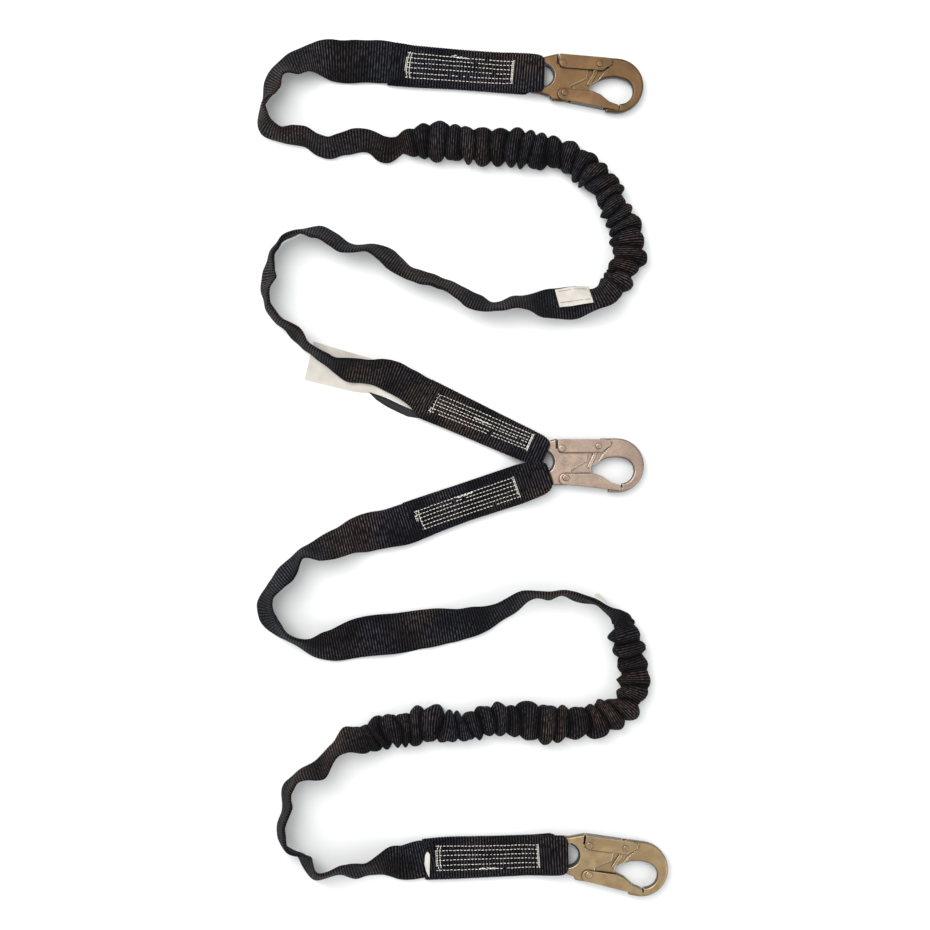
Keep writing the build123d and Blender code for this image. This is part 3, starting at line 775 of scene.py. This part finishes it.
def film(name, low_edge, high_edge, lift, thickness=FILM_T, steps=28):
    """A leaf of film between two edges, with lift(u, v) in mm above the floor."""
    vertices, faces = [], []
    for layer in (0.0, thickness):
        for i in range(steps + 1):
            for j in range(steps + 1):
                u, v = i / steps, j / steps
                x, y = along_edge(low_edge, u) * (1 - v) + along_edge(high_edge, u) * v
                vertices.append((x * MM, y * MM, (lift(u, v) + layer) * MM))
    n = steps + 1

    def index(i, j, layer):
        return layer * n * n + i * n + j

    def quad(*corners):
        faces.append(tuple(index(*corner) for corner in corners))

    for i in range(steps):
        for j in range(steps):
            quad((i, j, 0), (i, j + 1, 0), (i + 1, j + 1, 0), (i + 1, j, 0))
            quad((i, j, 1), (i + 1, j, 1), (i + 1, j + 1, 1), (i, j + 1, 1))
    for k in range(steps):
        quad((k, 0, 0), (k + 1, 0, 0), (k + 1, 0, 1), (k, 0, 1))
        quad((k + 1, steps, 0), (k, steps, 0), (k, steps, 1), (k + 1, steps, 1))
        quad((0, k + 1, 0), (0, k, 0), (0, k, 1), (0, k + 1, 1))
        quad((steps, k, 0), (steps, k + 1, 0), (steps, k + 1, 1), (steps, k, 1))
    return mesh_piece(name, vertices, faces, rounded=False)


print("film thickness, mm:", FILM_T)

# %% [markdown]
# ## The big label and its flap
# The leaf lies flat on the floor under the leg. The black flap beside it arches a little, because
# its fold line is still springy.

# %% Main label and cover flap


def settle(u, v):
    return 0.02 + 0.1 * math.sin(2.3 * u + 1.0) ** 2 * (1 - v)


def arch(u, v):
    return 0.4 + 2.0 * math.sin(math.pi * v) * math.sin(math.pi * min(1, 0.15 + u))


LABEL_LOW = [
    (-235, 92.7), (-205, 85.5), (-184, 80.4), (-166, 78.6), (-149, 75.2), (-133, 67.5), (-117.8, 58.5),
]
LABEL_HIGH = [(-225.2, 133.2), (-190, 122.5), (-165, 115.6), (-140, 104), (-122, 90)]
FLAP_LOW = [(-167, 79.5), (-160, 72.2), (-149, 65.0), (-138, 59.5), (-127, 54.5), (-113, 52.5)]
FLAP_HIGH = [(-166.5, 80), (-150, 74.5), (-134, 67), (-112, 57)]
main_label = film("main_label_leaf", LABEL_LOW, LABEL_HIGH, settle, 0.25)
cover_flap = film("cover_flap", FLAP_LOW, FLAP_HIGH, arch, 0.5)
print("main label vertices", len(main_label.data.vertices))

# %% [markdown]
# ## The small tags
# The tag on the upper leg lies on the web and follows its surface. Of the tag on the lower leg only
# an edge looks out, and at the rear of the lower anchor's sewn end an oval of film shows in the fold.

# %% Small tags


def surface_height(shape, x, y):
    """Height of the web's top surface under a point, in mm."""
    grid = shape["grid"]
    near = np.argmin(np.linalg.norm(grid[:, :, :2].mean(axis=1) - (x, y), axis=1))
    rows = grid[max(near - 18, 0): near + 18].reshape(-1, 3)
    close = np.linalg.norm(rows[:, :2] - (x, y), axis=1) < 3.2
    return float(rows[close][:, 2].max()) if close.any() else None


def tag_lift(shape, low_edge, high_edge, clear):
    """Height of a tag that lies on the web, as a function over the tag."""
    count = 9
    heights = np.full((count, count), np.nan)
    for i in range(count):
        for j in range(count):
            u, v = i / (count - 1), j / (count - 1)
            x, y = along_edge(low_edge, u) * (1 - v) + along_edge(high_edge, u) * v
            found = surface_height(shape, x, y)
            heights[i, j] = np.nan if found is None else found
    heights[np.isnan(heights)] = np.nanmedian(heights)

    def lift(u, v):
        fu, fv = min(u, 0.9999) * (count - 1), min(v, 0.9999) * (count - 1)
        i, j = int(fu), int(fv)
        p, q = fu - i, fv - j
        near = heights[i, j] * (1 - p) * (1 - q) + heights[i + 1, j] * p * (1 - q)
        return near + heights[i, j + 1] * (1 - p) * q + heights[i + 1, j + 1] * p * q + clear

    return lift


TAG_LOW = [(31.3, 167.6), (65.6, 171.4)]
TAG_HIGH = [(26.8, 186.6), (44, 189.6), (61.2, 190.2), (62.2, 187.4)]
upper_tag = film("upper_tag", TAG_LOW, TAG_HIGH, tag_lift(upper_shape, TAG_LOW, TAG_HIGH, 0.5), 0.3)
# two printed rules, one near each long edge, and nothing else on it
tag_rules = []
for name, share in (("upper_tag_rule_low", 0.24), ("upper_tag_rule_high", 0.86)):
    edges = [[along_edge(TAG_LOW, u) * (1 - w) + along_edge(TAG_HIGH, u) * w for u in (0.05, 0.5, 0.95)]
             for w in (share, share + 0.025)]
    tag_rules.append(film(name, *edges, tag_lift(upper_shape, *edges, 0.85), 0.06, steps=10))
TAG_FRAME = ((73.6, -135.4), math.radians(-33))


def lower_tag_edges():
    (x, y), turn = TAG_FRAME
    across = np.array([math.cos(turn), math.sin(turn)])
    out = np.array([-math.sin(turn), math.cos(turn)])
    centre = np.array([x, y])
    low = [centre - across * 7.8 - out * 1.2, centre + across * 7.8 - out * 1.2]
    high = [centre + across * a + out * b for a, b in ((-7.8, 2.0), (-5, 4.2), (7.8, 1.6))]
    return low, high


lower_tag = film("lower_tag", *lower_tag_edges(), lambda u, v: 30.0 - 14.0 * v - 3.0 * u, 0.4)
TAB_LEFT = [(-104.8, -394.8), (-108.4, -402), (-109.0, -411), (-107.4, -418), (-104.6, -424.0)]
TAB_RIGHT = [(-103.6, -395.0), (-103.3, -402), (-103.5, -411), (-103.7, -418), (-103.8, -424.2)]
end_label = film("end_label", TAB_LEFT, TAB_RIGHT, lambda u, v: 12.4 + 0.7 * math.sin(math.pi * v), 0.4)
print("tags made:", upper_tag.name, lower_tag.name, end_label.name, "and", len(tag_rules), "rules")

# %% [markdown]
# ## Materials
# One function turns a paint-box hex value into the linear colour that the shader wants, and one
# adds a node with its settings and links. Each finish below is then a short list of nodes.

# %% Material helpers


def colour(hex_value):
    """sRGB hex to linear RGBA."""
    channels = [int(hex_value[i:i + 2], 16) / 255 for i in (1, 3, 5)]
    linear = [c / 12.92 if c <= 0.04045 else ((c + 0.055) / 1.055) ** 2.4 for c in channels]
    return (*linear, 1.0)


def add_node(tree, kind, links=None, **settings):
    """A node of a kind, with its settings, and inputs given as values or as other nodes' outputs."""
    node = tree.nodes.new(kind)
    for key, value in settings.items():
        setattr(node, key, value)
    for socket, value in (links or {}).items():
        if isinstance(value, bpy.types.NodeSocket):
            tree.links.new(value, node.inputs[socket])
        else:
            node.inputs[socket].default_value = value
    return node


def new_material(name):
    material = bpy.data.materials.new(name)
    material.use_nodes = True
    tree = material.node_tree
    tree.nodes.clear()
    shader = add_node(tree, "ShaderNodeBsdfPrincipled")
    add_node(tree, "ShaderNodeOutputMaterial", {"Surface": shader.outputs["BSDF"]})
    return material, tree, shader


def blend_colours(tree, share, dark, light):
    ramp = add_node(tree, "ShaderNodeMix", {0: share}, data_type="RGBA")
    for index, value in ((6, dark), (7, light)):
        if isinstance(value, bpy.types.NodeSocket):
            tree.links.new(value, ramp.inputs[index])
        else:
            ramp.inputs[index].default_value = value
    return ramp.outputs[2]


def remap(tree, value, low, high, to_low=0.0, to_high=1.0):
    return add_node(tree, "ShaderNodeMapRange", {0: value, 1: low, 2: high, 3: to_low, 4: to_high}).outputs[0]


def noise(tree, vector, scale, detail, distortion=0.0):
    links = {"Vector": vector, "Scale": scale, "Detail": detail, "Distortion": distortion}
    return add_node(tree, "ShaderNodeTexNoise", links).outputs[0]


print("paint-box white is linear", colour("#ffffff"))

# %% [markdown]
# ## Woven polyester web
# Solution-dyed black polyester, woven as a ribbed tube: heavy filling cords run across the web and
# fine warp ends bind them. The eye gets matt black with a lighter thread of sheen on each cord, so
# the cords are drawn at their real pitch, broken up by the warp, with a soft bump.

# %% Webbing material
WARP_PITCH = 0.9  # fine ends along the web


def web_material(name, crest, valley, highlight_tint, with_painted_fold_shade=False):
    """Ribbed web: a painted highlight on each cord's crest over a dark valley, warm-tinted in random patches,
    with painted shade in its folds.
    """
    material, tree, shader = new_material(name)

    def math_node(operation, first, second=0.0):
        return add_node(tree, "ShaderNodeMath", {0: first, 1: second}, operation=operation).outputs[0]

    place = add_node(tree, "ShaderNodeUVMap", uv_map="cloth").outputs[0]
    split = add_node(tree, "ShaderNodeSeparateXYZ", {0: place})
    wave = math_node("COSINE", math_node("MULTIPLY", split.outputs[0], 2 * math.pi / (RIB_PITCH * MM)))
    cord = remap(tree, wave, -0.1, 1.0)
    # warp ends break each cord into short dashes; a single end is too fine to see from here
    dash = (1 / (RIB_PITCH * MM), 1 / (4 * WARP_PITCH * MM), 1)
    stretch = add_node(tree, "ShaderNodeMapping", {0: place, 3: dash}).outputs[0]
    lit = math_node("MULTIPLY", cord, remap(tree, noise(tree, stretch, 1.0, 2.0), 0.38, 0.64, 0.15, 1.0))
    body = add_node(tree, "ShaderNodeTexCoord").outputs["Object"]
    # the painted cord highlight is dimmed in random patches
    lit = math_node("MULTIPLY", lit, remap(tree, noise(tree, body, 24.0, 2.0), 0.36, 0.6, 0.3, 1.0))
    # painted shade in the valleys of the gathered folds, read from the mesh attribute crest
    if with_painted_fold_shade:
        painted_fold_shade = add_node(tree, "ShaderNodeAttribute", attribute_name="crest")
        lit = math_node("MULTIPLY", lit, painted_fold_shade.outputs["Fac"])
    # painted highlight tint: in random patches the cord highlight turns a warm brown
    painted_highlight_mix = remap(tree, noise(tree, body, 11.0, 3.0), 0.42, 0.62)
    cord_highlight_colour = blend_colours(tree, painted_highlight_mix, colour(crest), colour(highlight_tint))
    tree.links.new(blend_colours(tree, lit, colour(valley), cord_highlight_colour), shader.inputs["Base Color"])
    tree.links.new(remap(tree, lit, 0.0, 1.0, 0.9, 0.6), shader.inputs["Roughness"])
    warp = math_node("SINE", math_node("MULTIPLY", split.outputs[1], math.pi / (WARP_PITCH * MM)))
    height = math_node("ADD", cord, math_node("MULTIPLY", warp, 0.12))
    bump = add_node(tree, "ShaderNodeBump", {"Height": height, "Distance": 0.45 * MM, "Strength": 0.9})
    tree.links.new(bump.outputs[0], shader.inputs["Normal"])
    shader.inputs["Specular IOR Level"].default_value = 0.11
    shader.inputs["Sheen Weight"].default_value = 0.012
    shader.inputs["Sheen Roughness"].default_value = 0.4
    return material


# crest, valley and tint colours: the crest and tint colours are a painted highlight on each cord, over the
# valley colour
tubular_web = web_material("black_tubular_polyester_web", "#4d4d59", "#020204", "#67544b", with_painted_fold_shade=True)
sewn_web = web_material("black_sewn_polyester_web", "#474651", "#020204", "#63514a")
core_web = web_material("natural_absorber_strap", "#d8cba0", "#8f815a", "#cdbd90")
elastic_web = web_material("white_woven_elastic", "#e6e3da", "#a9a69c", "#d8d4c8")
print("web materials:", tubular_web.name, sewn_web.name, core_web.name, elastic_web.name)

# %% [markdown]
# ## Thread, film and the eye liner
# Bonded thread is nearly white with a dull waxy shine. The labels are coated film, slightly
# yellowed. The eye liner is near-black with a fine grain, the thin dark arc round each eye.

# %% Thread, film and eye liner materials


def plain_finish(name, light, dark, roughness, scale_mm, bump_mm, detail=3.0):
    """A dielectric whose colour wanders between two tones, over grain of a real size."""
    material, tree, shader = new_material(name)
    body = add_node(tree, "ShaderNodeTexCoord").outputs["Object"]
    share = remap(tree, noise(tree, body, 1 / (scale_mm * 12 * MM), 2.0), 0.35, 0.65)
    tree.links.new(blend_colours(tree, share, colour(dark), colour(light)), shader.inputs["Base Color"])
    grain = noise(tree, body, 1 / (scale_mm * MM), detail)
    bump = add_node(tree, "ShaderNodeBump", {"Height": grain, "Distance": bump_mm * MM, "Strength": 0.6})
    tree.links.new(bump.outputs[0], shader.inputs["Normal"])
    shader.inputs["Roughness"].default_value = roughness
    return material


bonded_thread = plain_finish("bonded_polyester_thread", "#f1ede2", "#cfc8b8", 0.55, 0.4, 0.08)
label_film = plain_finish("coated_label_film", "#cfc9bf", "#bdb5a9", 0.5, 1.5, 0.05)
flap_cloth = plain_finish("black_coated_nylon", "#0c0c10", "#050507", 0.7, 0.8, 0.08)
ink = plain_finish("grey_printed_ink", "#5a5350", "#464040", 0.6, 0.8, 0.01)
eye_liner_black = plain_finish("near_black_eye_liner", "#17171a", "#0c0c0e", 0.45, 0.5, 0.04)
print("plain finishes:", bonded_thread.name, label_film.name, flap_cloth.name, ink.name, eye_liner_black.name)

# %% [markdown]
# ## Plated steel
# The hooks are drop-forged steel, tumbled, zinc plated and passivated in yellow dichromate. That
# film is thin enough to show faint clouds of pink and olive over the gold, and it rubs through to
# bright zinc in fine scratches. Each hook took the bath differently, so each has its own tones; the
# upper anchor's are darker still, to paint in the dimmer light that fell on it. Pale edges are a
# painted highlight, and darker side walls and corners are painted shade.

# %% Hook materials


def plated_steel(name, base, warm, cool, edge, painted_shade, roughness):
    """Dichromate over zinc: three tones in clouds, with a painted highlight on the edges and painted shade on
    the side walls and in the corners.
    """
    material, tree, shader = new_material(name)
    body = add_node(tree, "ShaderNodeTexCoord").outputs["Object"]

    clouds = remap(tree, noise(tree, body, 38.0, 3.0, distortion=0.6), 0.42, 0.68)
    tone = blend_colours(tree, clouds, colour(base), colour(warm))
    stains = remap(tree, noise(tree, body, 95.0, 2.0), 0.5, 0.74, 0.0, 0.7)
    tone = blend_colours(tree, stains, tone, colour(cool))
    # painted shade: faces turned away from straight up, such as the side walls, take the darker shade tone
    facing = add_node(tree, "ShaderNodeNewGeometry")
    up = add_node(tree, "ShaderNodeSeparateXYZ", {0: facing.outputs["Normal"]}).outputs[2]
    tone = blend_colours(tree, remap(tree, up, 0.35, 0.95), colour(painted_shade), tone)
    # painted shade in the corners and between parts, found by an occlusion node
    corner = add_node(tree, "ShaderNodeAmbientOcclusion", {"Distance": 2.6 * MM}, samples=8).outputs["AO"]
    tone = blend_colours(tree, remap(tree, corner, 0.45, 0.93), colour(painted_shade), tone)
    # painted highlight: edges turn pale where the rounded normal differs from the flat one
    soft_edge = add_node(tree, "ShaderNodeBevel", {"Radius": 1.0 * MM}, samples=6)
    links = {0: soft_edge.outputs[0], 1: facing.outputs["Normal"]}
    flatness = add_node(tree, "ShaderNodeVectorMath", links, operation="DOT_PRODUCT").outputs["Value"]
    painted_highlight_mix = remap(tree, flatness, 0.995, 0.93, 0.0, 0.95)
    tree.links.new(blend_colours(tree, painted_highlight_mix, tone, colour(edge)), shader.inputs["Base Color"])
    # tumbling scratches, under half a millimetre wide and a few long
    links = {0: body, 2: (0.0, 0.0, 0.4), 3: (300, 2600, 800)}
    scratches = noise(tree, add_node(tree, "ShaderNodeMapping", links).outputs[0], 1.0, 2.0)
    shine = remap(tree, scratches, 0.3, 0.7, roughness - 0.07, roughness + 0.1)
    tree.links.new(shine, shader.inputs["Roughness"])
    pits = noise(tree, body, 420.0, 3.0)
    height = add_node(tree, "ShaderNodeMath", {0: pits, 1: scratches}, operation="ADD")
    links = {"Height": height.outputs[0], "Distance": 0.06 * MM, "Strength": 0.5}
    links["Normal"] = soft_edge.outputs[0]
    tree.links.new(add_node(tree, "ShaderNodeBump", links).outputs[0], shader.inputs["Normal"])
    shader.inputs["Metallic"].default_value = 0.85
    return material


# base, warm and cool clouds, painted edge highlight, painted side wall and corner shade, roughness
HOOK_TONES = {
    # its own tones, made darker to paint in the dimmer light that fell on the upper anchor
    "upper_anchor": ("#61482f", "#71563a", "#513f2a", "#d8c49d", "#22160d", 0.34),
    "harness": ("#998577", "#ad9584", "#87786a", "#f6ebe1", "#401d15", 0.3),
    "lower_anchor": ("#9c8361", "#b19772", "#857352", "#f4e6c0", "#3a2816", 0.32),
}


def dress(node, material):
    nodes[node].data.materials.clear()
    nodes[node].data.materials.append(material)


spring_steel = plated_steel("oiled_spring_wire", "#7d7a74", "#8f8a80", "#6b6862", "#b5b1a8", "#4a4844", 0.3)
for prefix, tones in HOOK_TONES.items():
    steel = plated_steel(f"{prefix}_dichromate_steel", *tones)
    base, warm, cool, edge, painted_shade, roughness = tones
    rivet = plated_steel(f"{prefix}_dichromate_rivet", warm, base, painted_shade, edge, painted_shade, roughness - 0.06)
    for part in ("hook_body", "gate", "lock_lever"):
        dress(f"{prefix}_{part}", steel)
    for part in ("gate_pin", "lever_pin", "lever_stop_pin"):
        dress(f"{prefix}_{part}", rivet)
    for part in ("gate_spring", "lever_spring"):
        dress(f"{prefix}_{part}", spring_steel)
    dress(f"{prefix}_eye_liner", eye_liner_black)
print("hooks dressed:", ", ".join(HOOK_TONES))

# %% [markdown]
# ## Put every piece on its body
# All the cloth belongs to the webbing body, which the hooks hang from. Each piece stands for the
# plain CAD solid that holds its place.

# %% Materials, bodies and replaced nodes


def fit(piece, material, slot, *replaced):
    piece.data.materials.clear()
    piece.data.materials.append(material)
    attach(piece, "webbing")
    if replaced:
        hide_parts(*replaced)


for place, web, core, elastic in (
    ("upper", upper_leg, upper_core, upper_elastic),
    ("lower", lower_leg, lower_core, lower_elastic),
):
    fit(web, tubular_web, "tubular_web", f"{place}_leg_tubular_webbing")
    fit(core, core_web, "core_strap", f"{place}_leg_absorber_core")
    fit(elastic, elastic_web, "elastic", f"{place}_leg_elastic_band")
for name in SEWN_STATIONS:
    fit(sewn_webs[name], sewn_web, "sewn_web", f"{name}_sewn_end")
    fit(thread_rows[name], bonded_thread, "thread", f"{name}_stitching")
fit(main_label, label_film, "label", "main_label")
fit(cover_flap, flap_cloth, "label_flap", "label_cover_flap")
fit(upper_tag, label_film, "label", "upper_leg_tag")
for rule in tag_rules:
    fit(rule, ink, "label")
fit(lower_tag, label_film, "label", "lower_leg_tag")
fit(end_label, label_film, "label", "lower_anchor_end_label")


# %% [markdown]
# ## Floor and light
# A pale matt floor and three broad soft lights, as in a product studio. The strongest two stand to
# the upper left, so that ridges and folds keep a soft dark side, and a weak one fills from the right.

# %% Floor, lights and world
FLOOR_REACH = 6.0
floor_corners = [(x * FLOOR_REACH, y * FLOOR_REACH, 0) for x, y in ((-1, -1), (1, -1), (1, 1), (-1, 1))]
floor = mesh_piece("floor", floor_corners, [(0, 1, 2, 3)], rounded=False)
floor_paper, _, floor_shader = new_material("pale_studio_paper")
floor_shader.inputs["Base Color"].default_value = colour("#f4f4f2")
floor_shader.inputs["Roughness"].default_value = 0.9
floor.data.materials.append(floor_paper)


def soft_light(name, place, size, power):
    data = bpy.data.lights.new(name, "AREA")
    data.shape = "SQUARE"
    data.size = size
    data.energy = power
    lamp = place_in_scene(name, data)
    lamp.location = place
    aim = Vector((0, 0, 0)) - Vector(place)
    lamp.rotation_euler = aim.to_track_quat("-Z", "Y").to_euler()


soft_light("overhead", (-0.7, 0.8, 2.6), 1.6, 36)
soft_light("key", (-1.7, 1.5, 2.2), 1.2, 24)
soft_light("fill", (1.8, -1.2, 1.9), 1.8, 14)
world = bpy.data.worlds.new("studio")
world.use_nodes = True
world.node_tree.nodes["Background"].inputs[0].default_value = colour("#eef1f4")
world.node_tree.nodes["Background"].inputs[1].default_value = 0.95
bpy.context.scene.world = world
bpy.context.scene.view_settings.view_transform = "Standard"
